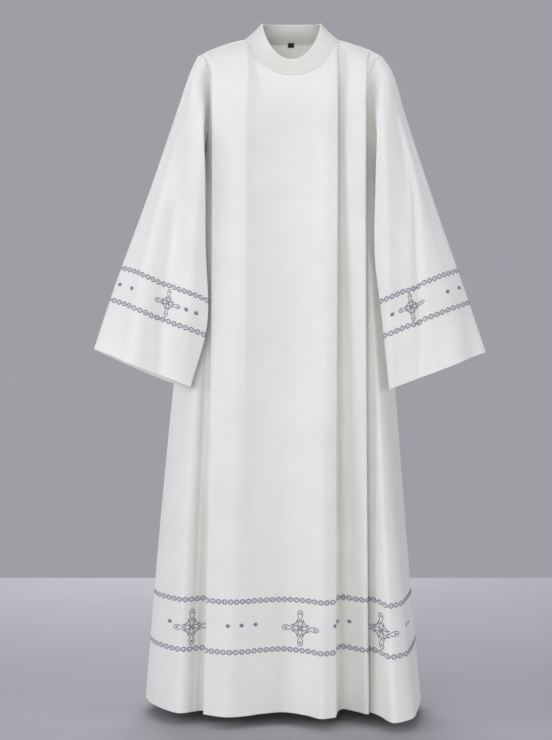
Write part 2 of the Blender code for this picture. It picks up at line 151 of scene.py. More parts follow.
FRONT_CREASES = (
    Crease("drag_left", ((-84, -48, 0), (-75, -80, 4.5), (-64, -115, 4), (-48, -170, 0)), 8, 14, 1.8),
    Crease("drag_right", ((89, -44, 0), (82, -72, 5), (76, -105, 4.6), (66, -165, 0)), 14, 8, 1.8),
    Crease("press_left", ((-91, -70, 0), (-93, -200, -9), (-93, -620, -9), (-96, -1250, 0)), 44, 9, 1.3),
    Crease(
        "chest_hollow",
        ((34, -90, 0), (42, -200, 12), (44, -420, 13), (36, -700, 7), (20, -1000, 0)), 88, 26, 2,
    ),
    Crease("slack_left", ((-128, -110, 0), (-134, -340, 2.4), (-130, -640, 0)), 16, 12, 2),
    Crease("slack_middle", ((20, -430, 0), (6, -700, 3.4), (-4, -1080, 0)), 34, 20, 2),
    Crease("hem_slack", ((-52, -1180, 0), (-58, -1330, 3), (-66, -1460, 3)), 22, 18, 2),
    Crease("side_fold", ((-222, -1150, 0), (-229, -1214, -2.4), (-239, -1330, 0)), 5, 6, 1.6),
    Crease("pleat_lap", ((-184, -760, 0), (-196, -1150, -7), (-205, -1460, -9)), 10, 8, 2),
    Crease("hip_fold", ((184, -560, 0), (206, -900, -3.4), (240, -1300, 0)), 9, 14, 1.7),
    Crease("panel_press", ((117, -60, 0), (118, -200, -9), (121, -420, -7), (128, -760, 0)), 8, 16, 2),
)


def turned(degrees):
    """Sine and cosine of an angle."""
    return math.sin(math.radians(degrees)), math.cos(math.radians(degrees))


def once_round(count):
    """Angles in even steps, once round."""
    return 360 * np.arange(count) / count


def point(across, forward, up):
    return np.array((across, -forward, up))


def ridge_up(across):
    """Height of the shoulder's top line, which bends down more past the shoulder's point."""
    out = abs(across) - SHOULDER_NECK_OUT
    past_point = max(0, abs(across) - SHOULDER_POINT_OUT)
    bend = SHOULDER_BEND * out**2 + SHOULDER_POINT_BEND * past_point**2
    return SHOULDER_NECK_UP - SHOULDER_SLOPE * out - bend


def armhole_down(degrees):
    """How far down the armhole an angle is, from 0 at the shoulder to 1 at the armpit."""
    return ((1 - math.cos(math.radians(degrees))) / 2) ** ARMHOLE_FALL_POWER


def armhole(degrees, side):
    """A point of the armhole: 0 degrees is the shoulder's top, and above 0 goes round by the front."""
    sine = turned(degrees)[0]
    down = armhole_down(degrees)
    reach, notch = (ARMHOLE_FRONT, ARMHOLE_NOTCH_FRONT) if sine > 0 else (-ARMHOLE_BACK, ARMHOLE_NOTCH_BACK)
    out = ARMHOLE_OUT - notch * abs(sine) ** ARMHOLE_NOTCH_POWER
    forward = reach * abs(sine) ** ARMHOLE_SQUARENESS - ARMPIT_BACKWARD * down
    return point(side * out, forward, ARMHOLE_TOP_UP + (ARMHOLE_PIT_UP - ARMHOLE_TOP_UP) * down)


def ring_point(degrees, half_width, front, back, ups, dip):
    """A ring round the neck: 0 degrees is the right side, 90 the front, and below 0 the back. A
    higher dip keeps its sides up for longer."""
    sine, cosine = turned(degrees)
    side_up, front_up, back_up = ups
    across, reach = NECK_CENTRE + half_width * cosine, abs(sine) ** NECK_SQUARENESS
    if sine >= 0:
        return point(across, front * reach, side_up + (front_up - side_up) * sine**dip)
    return point(across, -back * reach, side_up - (back_up - side_up) * sine)


def neckline(degrees):
    return ring_point(degrees, NECK_HALF_WIDTH, NECK_FRONT, NECK_BACK, NECK_UPS, NECK_DIP)


def seam_forward(across):
    """How far the shoulder seam is in front of the shoulder's top line, from the neck to the point."""
    neck_out, point_out = SHOULDER_SEAM_OUT
    at_neck, at_point = SHOULDER_SEAM_FORWARD
    return at_neck + (at_point - at_neck) * (abs(across) - neck_out) / (point_out - neck_out)


def shoulder_seam(across, layers):
    """A point of the shoulder seam, under that many layers of the pleats."""
    sine, cosine = turned(SHOULDER_SEAM_TURN)
    below = layers * 2 * PRESSED_RADIUS
    fall = (ridge_up(across) - SHOULDER_SETTLE) * (1 - cosine)
    return point(across, seam_forward(across) - below * sine, ridge_up(across) - fall - below * cosine)


def edge_point(top, behind):
    """A point of a panel's top edge."""
    place, value = top[:2]
    if place == "seam":
        start = shoulder_seam(*top[1:])
    elif place == "neck":
        start = neckline(value)
    else:
        start = armhole(value, 1 if place == "right" else -1)
    if behind:
        start[1] += SEAM_GAP * (place == "seam" or value == -ARMPIT or start[1] < 0)
    return start


def top_of(line, behind):
    """How far past the ridge the cloth has turned where a line starts, and where it hangs straight."""
    place, value = line.top[:2]
    if place == "seam":
        return -SHOULDER_SEAM_TURN if behind else SHOULDER_SEAM_TURN, SHOULDER_SETTLE
    start = edge_point(line.top, behind)
    down = 0.0 if place == "neck" else armhole_down(value)
    settle = SHOULDER_SETTLE + (ARMPIT_SETTLE - SHOULDER_SETTLE) * down
    if behind and start[1] < 0:
        return SHOULDER_SEAM_TURN * start[1] / seam_forward(start[0]), settle
    natural = 0.0
    if abs(value) < ARMPIT_FROM or place == "neck":
        natural = math.degrees(math.asin(min(STEEPEST_START, -start[1] / line.chest[1])))
    return max(natural, ARMPIT_TURN * down), settle


def mixed(p, q, start, end, t):
    """The place between p, which is at start, and q, which is at end."""
    return ((end - t) * p + (t - start) * q) / (end - start)


def smooth_curve(knots, cells, closed=False):
    """Points of a smooth curve through the knots, with a number of cells between each two or one
    number for all."""
    knots = [np.array(knot, float) for knot in knots]
    cells = np.broadcast_to(cells, len(knots) if closed else len(knots) - 1)
    if closed:
        knots = [knots[-1], *knots, knots[0], knots[1]]
    else:
        knots = [2 * knots[0] - knots[1], *knots, 2 * knots[-1] - knots[-2]]
    curve = []
    for index, count in enumerate(cells):
        near = knots[index : index + 4]
        times = np.cumsum([0, *(max(np.linalg.norm(q - p), TINY) ** 0.5 for p, q in zip(near, near[1:]))])
        for t in times[1] + (times[2] - times[1]) * np.arange(count) / count:
            first = [mixed(near[i], near[i + 1], times[i], times[i + 1], t) for i in range(3)]
            second = [mixed(first[i], first[i + 1], times[i], times[i + 2], t) for i in range(2)]
            curve.append(mixed(*second, times[1], times[2], t))
    if not closed:
        curve.append(knots[-2])
    return np.array(curve)


def across_lines(lines, places, outward, radius, at_hem=False):
    """The cloth's curve across the lines, through a place on each, rounded where the cloth is folded."""
    knots, cells = [], []
    for line, place in zip(lines, places):
        if line.side:
            hook = line.shut if at_hem else 1
            in_from_tip = np.array((-line.side * radius * hook, 0, 0))
            knots += [
                place + in_from_tip - line.turn * radius * outward,
                place,
                place + in_from_tip + line.turn * radius * outward,
            ]
            cells += [FOLD_CELLS, FOLD_CELLS, line.cells * FINER_ACROSS]
        else:
            knots.append(place)
            cells.append(line.cells * FINER_ACROSS)
    return smooth_curve(knots, cells[:-1])


def between_lines(lines, values):
    """A value for each column of the cloth, in even steps between the values of the lines."""
    spread = []
    for line, value, following in zip(lines, values, [*values[1:], values[-1]]):
        cells = line.cells * FINER_ACROSS
        spread += [value] * (2 * FOLD_CELLS if line.side else 0)
        spread += [value + (following - value) * cell / cells for cell in range(cells)]
    return np.array([*spread, values[-1]])


def top_edge(lines, behind):
    """A panel's top edge. It lies exactly on the armholes and the neckline."""
    sine, cosine = turned(SHOULDER_SEAM_TURN)
    outward = np.array((0, sine if behind else -sine, cosine))
    starts = [edge_point(line.top, behind) for line in lines]
    edge = across_lines(lines, starts, outward, PRESSED_RADIUS)
    index = 0
    for line, following in zip(lines, lines[1:]):
        index += 2 * FOLD_CELLS if line.side else 0
        cells = line.cells * FINER_ACROSS
        for cell in range(1, cells):
            share = cell / cells
            if line.top[0] != following.top[0]:
                edge[index + cell] = edge[index] * (1 - share) + edge[index + cells] * share
            elif line.top[0] != "seam":
                value = line.top[1] + (following.top[1] - line.top[1]) * share
                edge[index + cell] = edge_point((line.top[0], value), behind)
        index += cells
    return edge


def panel_rows(lines, behind):
    """The points of a panel, row by row from its top edge to its hem."""
    starts = top_edge(lines, behind)
    tops = zip(*(top_of(line, behind) for line in lines))
    turns, settles = (between_lines(lines, values) for values in tops)
    drops = between_lines(lines, [line.drop for line in lines])
    outward = np.array((0, 1.0 if behind else -1.0, 0))
    gap = np.array((0, SEAM_GAP if behind else 0.0, 0))

    def level(places, radius, at_hem=False):
        places = [point(*place, 0) + gap for place in places]
        return across_lines(lines, places, outward, radius, at_hem)

    hip_share = (CHEST - HIP) / (CHEST - HEM)
    hip_radius = CHEST_RADIUS + (HEM_RADIUS - CHEST_RADIUS) * hip_share
    chest = level([line.chest for line in lines], CHEST_RADIUS)
    hip = level([line.hip for line in lines], hip_radius)
    hem = level([line.hem for line in lines], HEM_RADIUS, at_hem=True)
    bend = ((hip - chest) - (hem - chest) * hip_share) / (hip_share**2 - hip_share)

    def hanging(ups):
        share = np.maximum(0, (CHEST - ups) / (CHEST - HEM))[:, None]
        places = chest + (hem - chest - bend) * share + bend * share**2
        places[:, 2] = ups
        return places

    rows = []
    start_sine, start_cosine = np.sin(np.radians(turns)), np.cos(np.radians(turns))
    for row in range(ROWS_ABOVE):
        turn = np.radians(turns + (90 - turns) * row / ROWS_ABOVE)
        ups = starts[:, 2] - (starts[:, 2] - settles) * (start_cosine - np.cos(turn)) / start_cosine
        share = ((1 - np.sin(turn)) / (1 - start_sine))[:, None]
        places = hanging(ups) + (starts - hanging(starts[:, 2])) * share
        places[:, 2] = ups
        rows.append(places)
    for row in range(ROWS_BELOW + 1):
        rows.append(hanging(settles + (HEM - drops - settles) * row / ROWS_BELOW))
    return np.array(rows)


def relief(creases, across, up):
    """How far the creases push the cloth in at each place."""
    depth = np.zeros_like(across)
    for crease in creases:
        run = smooth_curve(crease.run, CREASE_CELLS)[::-1]
        off = across - np.interp(up, run[:, 1], run[:, 0])
        width = np.where(off < 0, crease.left, crease.right)
        inside = (up > run[0, 1]) & (up < run[-1, 1])
        depth += inside * np.interp(up, run[:, 1], run[:, 2]) * np.exp(-np.abs(off / width) ** crease.power)
    return depth


def unit(arrows):
    """The same directions, each with a length of 1."""
    return arrows / np.maximum(np.linalg.norm(arrows, axis=-1, keepdims=True), TINY)


def outward_normals(rows, closed=False):
    """The direction out of the cloth at each of its points."""
    across = np.roll(rows, -1, 1) - np.roll(rows, 1, 1) if closed else np.gradient(rows, axis=1)
    normals = unit(np.cross(np.gradient(rows, axis=0), across))
    out = rows - rows.mean(axis=1, keepdims=True)
    return normals if (normals * out).sum() > 0 else -normals


def lengths_along(rows, axis):
    """The distance along the cloth from its first point in each row (axis 1) or column (axis 0)."""
    steps = np.linalg.norm(np.diff(rows, axis=axis), axis=2)
    start = np.zeros_like(np.take(steps, [0], axis=axis))
    return np.cumsum(np.concatenate([start, steps], axis=axis), axis=axis)


def run_lengths(run):
    """The distance along a run of points from its first."""
    return lengths_along(run[:, None], 0)[:, 0]


def at_lengths(lengths, along, run):
    """The places at some lengths along a run of points."""
    return np.stack([np.interp(lengths, along, run[:, axis]) for axis in range(3)], axis=-1)


def placed(name, data):
    """A new object in the scene, of its data."""
    made = bpy.data.objects.new(name, data)
    bpy.context.scene.collection.objects.link(made)
    return made


def finished_piece(name, work, material):
    """The object of a finished bmesh, in its material."""
    mesh = bpy.data.meshes.new(name)
    work.to_mesh(mesh)
    work.free()
    mesh.materials.append(material)
    return placed(name, mesh)


def cloth_sheet(name, rows, thickness, material, closed=False):
    """A thin sheet of cloth on a grid of points, joined round each row if it is a tube. Its UV map
    is its flat place in metres."""
    if closed:
        rows = np.concatenate([rows, rows[:, :1]], axis=1)
    height, width = rows.shape[:2]
    flat = np.stack([lengths_along(rows, 1), lengths_along(rows, 0)], axis=2).reshape(-1, 2) * MM
    weave = bmesh.new()
    bmesh.ops.create_grid(weave, x_segments=width - 1, y_segments=height - 1, size=1)
    weave.verts.ensure_lookup_table()
    for vertex, place in zip(weave.verts, rows.reshape(-1, 3) * MM):
        vertex.co = place
    flat_map = weave.loops.layers.uv.new("flat")
    for face in weave.faces:
        for loop in face.loops:
            loop[flat_map].uv = flat[loop.vert.index]
    if closed:
        bmesh.ops.remove_doubles(weave, verts=weave.verts, dist=MERGED_WITHIN * MM)
    middle = Vector(rows.reshape(-1, 3).mean(axis=0) * MM)
    weave.normal_update()
    outward = sum(face.normal.xy.dot((face.calc_center_median() - middle).xy) for face in weave.faces)
    if outward < 0:
        bmesh.ops.reverse_faces(weave, faces=weave.faces)
    for face in weave.faces:
        face.smooth = True
    for edge in weave.edges:
        edge.smooth = not edge.is_boundary
    sheet = finished_piece(name, weave, material)
    wall = sheet.modifiers.new("cloth thickness", "SOLIDIFY")
    wall.thickness = thickness * MM
    wall.offset = 0
    return sheet


def linear(hex_colour):
    """An sRGB hex colour as linear red, green, blue and alpha."""
    parts = [int(hex_colour[i : i + 2], 16) / 255 for i in (1, 3, 5)]
    return (*(part / 12.92 if part <= 0.04045 else ((part + 0.055) / 1.055) ** 2.4 for part in parts), 1)


def add_node(tree, kind, values=None, links=None, **settings):
    """Adds a node with its settings, its sockets' values and the links into it."""
    made = tree.nodes.new(kind)
    for setting, value in settings.items():
        setattr(made, setting, value)
    for socket, value in (values or {}).items():
        made.inputs[socket].default_value = value
    for socket, source in (links or {}).items():
        tree.links.new(source, made.inputs[socket])
    return made


def patterned(name, finish, tones, reads, kind, values, stops=(0, 1), rise=None, **settings):
    """A material with the finish's values on its shader. Its colour runs between two tones by a
    pattern on the object's own places or its UV map, and the pattern raises it where rise gives a
    strength and a height in metres."""
    material = bpy.data.materials.new(name)
    material.use_nodes = True
    tree = material.node_tree
    shader = tree.nodes["Principled BSDF"]
    for socket, value in finish.items():
        shader.inputs[socket].default_value = value
    places = add_node(tree, "ShaderNodeTexCoord")
    pattern = add_node(tree, kind, values, {"Vector": places.outputs[reads]}, **settings)
    colour = add_node(tree, "ShaderNodeValToRGB", links={"Fac": pattern.outputs["Fac"]})
    for mark, stop, tone in zip(colour.color_ramp.elements, stops, tones):
        mark.position = stop
        mark.color = linear(tone)
    tree.links.new(colour.outputs["Color"], shader.inputs["Base Color"])
    if rise:
        raised = {"Strength": rise[0], "Distance": rise[1]}
        bump = add_node(tree, "ShaderNodeBump", raised, {"Height": pattern.outputs["Fac"]})
        tree.links.new(bump.outputs["Normal"], shader.inputs["Normal"])
    return material


def white_crepe(name, tones, let_through):
    """Polyester crepe, woven and pressed: matt, faintly pebbled, with a soft bloom at the edges. The
    real grain is 0.4 mm and too fine to show, so it is drawn at 1.6 mm. Its colour varies a little
    between two tones over a few centimetres, and it lets some light through."""
    finish = {
        "Roughness": 0.82,
        "Sheen Weight": 0.18,
        "Sheen Roughness": 0.45,
        "Specular IOR Level": 0.28,
        "Subsurface Weight": let_through,
        "Subsurface Radius": (1.0, 0.9, 0.8),
        "Subsurface Scale": 0.004,
    }
    varied = {"Scale": 11.0, "Detail": 3.0}
    material = patterned(name, finish, tones, "Object", "ShaderNodeTexNoise", varied, (0.35, 0.65))
    tree = material.node_tree
    places = tree.nodes["Texture Coordinate"]
    hand = add_node(
        tree, "ShaderNodeTexNoise", {"Scale": 30.0, "Detail": 2.0}, {"Vector": places.outputs["Object"]}
    )
    grain = add_node(
        tree,
        "ShaderNodeTexNoise",
        {"Scale": 620.0, "Detail": 1.0},
        {"Vector": places.outputs["UV"]},
        noise_dimensions="2D",
    )
    soft = add_node(
        tree, "ShaderNodeBump", {"Strength": 0.4, "Distance": 0.0007}, {"Height": hand.outputs["Fac"]}
    )
    fine = add_node(
        tree,
        "ShaderNodeBump",
        {"Strength": 0.35, "Distance": 0.00012},
        {"Height": grain.outputs["Fac"], "Normal": soft.outputs["Normal"]},
    )
    tree.links.new(fine.outputs["Normal"], tree.nodes["Principled BSDF"].inputs["Normal"])
    return material


crepe = white_crepe("white polyester crepe, woven and pressed", ("#EFECE5", "#F3F1EB"), 0.4)
front_rows = panel_rows(FRONT_LINES, behind=False)
front_rows[..., 1] += relief(FRONT_CREASES, front_rows[..., 0], front_rows[..., 2])
front = cloth_sheet("alb_front", front_rows, CLOTH_THICKNESS, crepe)
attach(front, "root")
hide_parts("front")


# ---- Back ------------------------------------------------
# One width of the same crepe with no seam down its middle. It has no pleats, and falls in soft
# flutes from the shoulder blades to the hem.

BACK_LINES = (
    Line("side_left", ("left", -180), (-206, -10), (-262, -10), (-320, -18), 3),
    Line("flank_left", ("left", -140), (-197, -67), (-251, -74), (-304, -104), 3),
    Line("blade_left", ("left", -95), (-189, -92), (-232, -112), (-276, -144), 2),
    Line("cap_left", ("left", -50), (-176, -103), (-210, -118), (-242, -152), 2),
    Line("point_left", ("left", 0), (-171, -108), (-196, -125), (-220, -168), 1),
    Line("front_left", ("left", 22), (-165, -109), (-184, -132), (-202, -186), 1),
    Line("end_left", ("seam", -184, 0.2), (-161, -110), (-178, -137), (-196, -196), 1),
    Line("flute_left", ("seam", -160, 0), (-150, -112), (-160, -150), (-176, -214), 3),
    Line("hollow_left", ("seam", -120, 0), (-134, -112), (-130, -128), (-138, -158), 2),
    Line("corner_left", ("neck", 169), (-117, -113), (-115, -136), (-114, -182), 2),
    Line("neck_left", ("neck", 190), (-96, -115), (-88, -150), (-90, -208), 3),
    Line("nape_left", ("neck", 220), (-58, -116), (-54, -130), (-52, -160), 3),
    Line("half_left", ("neck", 244), (-30, -117), (-27, -138), (-24, -180), 2),
    Line("nape", ("neck", 270), (1, -117), (2, -148), (5, -204), 2),
    Line("half_right", ("neck", 296), (32, -117), (32, -138), (34, -180), 3),
    Line("nape_right", ("neck", 320), (60, -116), (60, -129), (60, -158), 3),
    Line("neck_right", ("neck", 350), (97, -115), (90, -149), (94, -206), 2),
    Line("corner_right", ("neck", 371), (118, -113), (112, -136), (116, -182), 2),
    Line("hollow_right", ("seam", 120, 0), (133, -112), (128, -128), (138, -157), 3),
    Line("flute_right", ("seam", 160, 0), (148, -112), (156, -149), (174, -210), 1),
    Line("end_right", ("seam", 184, 0.2), (157, -110), (168, -136), (189, -188), 1),
    Line("front_right", ("right", 22), (161, -109), (173, -131), (195, -178), 1),
    Line("point_right", ("right", 0), (168, -108), (183, -123), (210, -160), 2),
    Line("cap_right", ("right", -50), (174, -103), (196, -116), (230, -146), 2),
    Line("blade_right", ("right", -95), (188, -92), (211, -110), (254, -136), 3),
    Line("flank_right", ("right", -140), (196, -67), (227, -72), (278, -94), 3),
    Line("side_right", ("right", -180), (205, -10), (236, -10), (290, -8), 0),
)

BACK_CREASES = (
    Crease("blade_left", ((-112, -60, 0), (-124, -200, 3), (-128, -420, 2), (-120, -640, 0)), 14, 18, 2),
    Crease("blade_right", ((108, -70, 0), (118, -230, 2.6), (124, -460, 1.6), (116, -700, 0)), 18, 13, 2),
    Crease("spine_hollow", ((4, -120, 0), (0, -380, 3), (4, -760, 1.5), (10, -1000, 0)), 26, 22, 2),
    Crease("nape_drag", ((52, -30, 0), (40, -70, 1.6), (22, -120, 0)), 7, 5, 1.7),
    Crease("flank_fold_left", ((-214, -480, 0), (-236, -820, -3), (-262, -1250, 0)), 12, 9, 1.8),
    Crease("flank_fold_right", ((206, -520, 0), (222, -880, -2.6), (246, -1300, 0)), 9, 12, 1.8),
)

back_rows = panel_rows(BACK_LINES, behind=True)
back_rows[..., 1] -= relief(BACK_CREASES, back_rows[..., 0], back_rows[..., 2])
back = cloth_sheet("alb_back", back_rows, CLOTH_THICKNESS, crepe)
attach(back, "root")
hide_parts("back")


# ---- Sleeves ---------------------------------------------
# Each is one wide piece of the crepe, sewn into the armhole and closed by a seam under the arm. It
# falls from the shoulder, folds along its edge next to the body, and opens wide at the cuff.

SLEEVE_ROUND = (16, 16, 24, 28, 28)
SLEEVE_RINGS = (14, 10, 14, 14, 10)
SLEEVE_FACING = (0.1, 0.5)
SLEEVE_SEAM_GAP = 0.6
SLEEVE_GAP_FORWARD = 0.6
SLEEVE_EDGE_PRESS = 6.0
SLEEVE_PRESS_RINGS = (2, 14)

# Sections of a sleeve: out, forward and up of the line over the arm, the front, the folded edge
# next to the body, the underarm seam and the back.
Section = namedtuple("Section", "name over front edge under back")

LEFT_SLEEVE = (
    Section("cap", (221, 5, -72), (209, 99, -108), (184, 113, -205), (236, 2, -300), (233, -90, -162)),
    Section("upper", (255, 10, -172), (222, 122, -212), (182, 128, -312), (248, 14, -364), (260, -76, -256)),
    Section("elbow", (314, 28, -350), (256, 140, -385), (181, 131, -460), (240, 52, -482), (292, -18, -405)),
    Section("forearm", (384, 50, -548), (282, 154, -586), (178, 132, -630), (228, 92, -610), (308, 56, -582)),
    Section("cuff", (427, 60, -681), (322, 154, -720), (213, 130, -762), (250, 98, -755), (342, 68, -720)),
)
RIGHT_SLEEVE = (
    Section("cap", (227, 5, -72), (209, 99, -108), (184, 113, -205), (236, 2, -300), (233, -90, -162)),
    Section("upper", (257, 10, -172), (222, 122, -212), (182, 128, -312), (246, 14, -364), (260, -76, -256)),
    Section("elbow", (313, 28, -350), (256, 140, -392), (180, 131, -482), (236, 52, -490), (290, -18, -405)),
    Section("forearm", (379, 50, -548), (284, 154, -582), (195, 131, -614), (232, 92, -604), (304, 56, -578)),
    Section("cuff", (425, 60, -687), (318, 154, -726), (211, 130, -767), (248, 98, -755), (340, 68, -719)),
)

LEFT_SLEEVE_CREASES = (
    Crease(
        "edge_fold",
        ((-186, -120, 0), (-188, -240, -13), (-193, -350, -17), (-206, -530, -18), (-222, -770, -12)),
        34, 36, 1.6,
    ),
    Crease(
        "arm_hollow",
        ((-224, -170, 0), (-242, -300, 20), (-253, -430, 26), (-277, -630, 23), (-290, -770, 17)),
        30, 20, 2,
    ),
    Crease(
        "outer_swell",
        ((-262, -220, 0), (-296, -390, -16), (-322, -520, -18), (-340, -650, -16), (-345, -790, -12)),
        20, 34, 2,
    ),
)
RIGHT_SLEEVE_CREASES = (
    Crease("edge_fold", ((200, -110, 0), (202, -300, -10), (210, -598, -13), (218, -780, -10)), 12, 16, 1.6),
    Crease(
        "arm_hollow",
        ((208, -120, 0), (243, -240, 17), (260, -355, 25), (267, -500, 26), (274, -650, 17), (270, -800, 13)),
        32, 7, 1.6,
    ),
    Crease(
        "outer_swell",
        ((274, -220, 0), (312, -390, -20), (344, -520, -24), (366, -650, -24), (372, -790, -18)),
        56, 20, 2,
    ),
    Crease("cuff_crease", ((314, -600, 0), (319, -680, 2.4), (321, -800, 2.4)), 8, 10, 2),
)

# The creases on the outer side of the left sleeve (-1) and the right (1), where across runs from
# the front, below 0, to the back.
SIDE_CREASES = {
    -1: (
        Crease(
            "cap_fold",
            ((-46, -120, 0), (-64, -230, 5), (-88, -400, 6), (-112, -640, 4), (-118, -760, 3)), 16, 26, 2,
        ),
        Crease("elbow_fold", ((10, -230, 0), (0, -360, 4), (-22, -520, 5), (-34, -720, 3)), 14, 12, 2),
    ),
    1: (
        Crease(
            "cap_fold",
            ((-40, -130, 0), (-56, -260, 4), (-80, -430, 7), (-100, -640, 5), (-112, -770, 3)), 24, 14, 2,
        ),
        Crease("elbow_fold", ((14, -260, 0), (4, -400, 5), (-20, -560, 3), (-36, -700, 4)), 10, 16, 2),
    ),
}


def sleeve_rings(sections, side, creases):
    """The points of a sleeve, ring by ring from the armhole to the cuff. It is creased in front and
    on its outer side, where the cloth faces those ways, and its edge next to the body is pressed
    to a crisper fold."""
    first = []
    for degrees in once_round(sum(SLEEVE_ROUND)):
        gap = SLEEVE_SEAM_GAP * np.array((side, -SLEEVE_GAP_FORWARD * turned(degrees)[0], 0))
        first.append(armhole(degrees, side) + gap)
    rings = [first]
    for section in sections:
        knots = [point(side * out, forward, up) for out, forward, up in section[1:]]
        rings.append(smooth_curve(knots, SLEEVE_ROUND, closed=True))
    strips = [smooth_curve(strip, SLEEVE_RINGS) for strip in zip(*rings)]
    rings = np.array(strips).transpose(1, 0, 2)
    low, high = SLEEVE_FACING
    normals = outward_normals(rings, closed=True)
    facing = np.clip((np.stack([side * normals[..., 0], -normals[..., 1]]) - low) / (high - low), 0, 1)
    facing *= facing * (3 - 2 * facing)
    forward = np.clip(-normals[..., 1], 0, 1) * (side * normals[..., 0] < 0)
    from_cap = np.interp(np.arange(len(rings)), SLEEVE_PRESS_RINGS, (0, 1))[:, None]
    half_turned = 4 * forward * (1 - forward)
    pressed = SLEEVE_EDGE_PRESS * half_turned * from_cap
    in_front = relief(creases, rings[..., 0], rings[..., 2])
    beside = relief(SIDE_CREASES[side], rings[..., 1], rings[..., 2])
    rings[..., 0] -= side * beside * facing[0]
    rings[..., 1] += in_front * facing[1] - pressed
    return rings


sleeves = {}
for name, sections, side, creases in (
    ("sleeve_left", LEFT_SLEEVE, -1, LEFT_SLEEVE_CREASES),
    ("sleeve_right", RIGHT_SLEEVE, 1, RIGHT_SLEEVE_CREASES),
):
    sleeves[name] = sleeve_rings(sections, side, creases)
    sleeve = cloth_sheet("alb_" + name, sleeves[name], CLOTH_THICKNESS, crepe, closed=True)
    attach(sleeve, "root")
    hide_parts(name)


# ---- Collar ----------------------------------------------
# A stand-up band of the crepe, doubled over a stiff interlining, so that it is thicker and
# smoother than the rest. It is low in front and higher behind, and its top edge is rounded.

COLLAR_THICKNESS = 2.0
COLLAR_HALF_WIDTH = 65.0
COLLAR_FRONT = 78.0
COLLAR_BACK = 62.0
COLLAR_UPS = (40.0, -54.0, 50.0)
COLLAR_DIP = 1.25
COLLAR_ROUND = 144
COLLAR_ROWS = 16
COLLAR_HOLLOW = 0.02
COLLAR_LAP = 1.8
COLLAR_EDGE_RADIUS = 0.8
COLLAR_ROLL_RADIUS = 1.3


def collar_edge(degrees):
    return ring_point(degrees, COLLAR_HALF_WIDTH, COLLAR_FRONT, COLLAR_BACK, COLLAR_UPS, COLLAR_DIP)


def collar_rings():
    """The points of the collar, ring by ring from the neck seam up to its free edge. Its lower edge
    laps over the neckline a little."""
    shares = np.arange(COLLAR_ROWS + 1)[:, None] / COLLAR_ROWS
    columns = []
    for degrees in once_round(COLLAR_ROUND):
        seam, edge = neckline(degrees), collar_edge(degrees)
        hollow = (seam - NECK_CENTRE * np.array((1, 0, 0))) * (1, 1, 0)
        seam = seam + (unit(hollow) - unit(edge - seam)) * COLLAR_LAP
        columns.append(seam + (edge - seam) * shares - hollow * COLLAR_HOLLOW * np.sin(math.pi * shares))
    return np.stack(columns, axis=1)


# The collar's crepe is a darker copy of the body's crepe: its lower tones are painted shade, standing in for
# the shade that falls on the collar's front.
collar_crepe_painted_shade = white_crepe("white polyester crepe, darkened for painted shade", ("#DEDBD5", "#E4E1DB"), 0.1)
collar_points = collar_rings()
collar = cloth_sheet("alb_collar", collar_points, COLLAR_THICKNESS, collar_crepe_painted_shade, closed=True)
rounding = collar.modifiers.new("turned edge", "BEVEL")
rounding.width = COLLAR_EDGE_RADIUS * MM
rounding.segments = 3
rounding.limit_method = "ANGLE"
rounding.angle_limit = math.radians(60)
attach(collar, "root")
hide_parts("collar")


# ---- Neck label ------------------------------------------
# A small plain label of black woven tape, sewn inside the back of the neck. Its weave ribs run
# across it and catch a little light.

LABEL_WIDTH = 14.0
LABEL_LENGTH = 11.0
LABEL_THICKNESS = 0.6
LABEL_BELOW_SEAM = -3.5
LABEL_CELLS = 12
LABEL_ROW_BELOW = 4


def black_tape(name):
    """Polyester label tape, woven black: a dull satin. Its ribs are 0.5 mm apart."""
    finish = {"Roughness": 0.55, "Sheen Weight": 0.1}
    tones = ("#141417", "#26262B")
    ribs = {"Scale": 628.0}
    rise = (0.5, 0.0001)
    return patterned(name, finish, tones, "UV", "ShaderNodeTexWave", ribs, rise=rise, bands_direction="Y")


middle = int(np.argmin(abs(back_rows[0, :, 0] - NECK_CENTRE)))
label_top = back_rows[0, middle]
down = unit(back_rows[LABEL_ROW_BELOW, middle] - label_top)
inward = np.cross(down, (1, 0, 0))
inward = inward if inward[1] < 0 else -inward
label_start = label_top + down * LABEL_BELOW_SEAM + inward * (CLOTH_THICKNESS + LABEL_THICKNESS)
shares = np.arange(LABEL_CELLS + 1) / LABEL_CELLS
along_label = down * LABEL_LENGTH * shares[:, None, None]
across_label = (1, 0, 0) * (shares[:, None] - 0.5) * LABEL_WIDTH
label_points = label_start + along_label + across_label
tape = black_tape("black polyester label tape, woven")
label = cloth_sheet("neck_label", label_points, LABEL_THICKNESS, tape)
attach(label, "root")
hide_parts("label")


# ---- Seams and stitching ---------------------------------
# The seams are closed by their turned-in edges, which lie as a fine roll in each join. Rows of white
# polyester thread hold the collar's edges, the right pleat's edge, the hem and the cuffs.

ARMHOLE_ROLL_RADIUS = 0.75
NECK_ROLL_RADIUS = 0.45
BODY_ROLL_RADIUS = 0.525
RING_CELLS = 120
SHOULDER_ROLL = (102, 200, 4)
TURNING_WIDTH = 12.0
TURNING_ACROSS = (100, 188, 4)
TURNING_TOP_LAYER = 0.2
TURNING_ROWS = 5
STITCH_PITCH = 3.2
STITCH_LENGTH = 2.4
STITCH_RADIUS = 0.25
STITCH_SUNK = 0.15
HEM_STRETCH = (20, 44)
HEM_STITCH_UP = 32.0
HEM_STITCH_PITCH = 6.4
COLLAR_STRETCH = (0, 30)
COLLAR_STITCH_IN = 3.0
COLLAR_END = 14.0
PLEAT_STITCH_IN = 2.0
PLEAT_STITCHED_TO = -174.0
STRETCH_STEP = 2.0
LEAST_SHOWN = 0.5


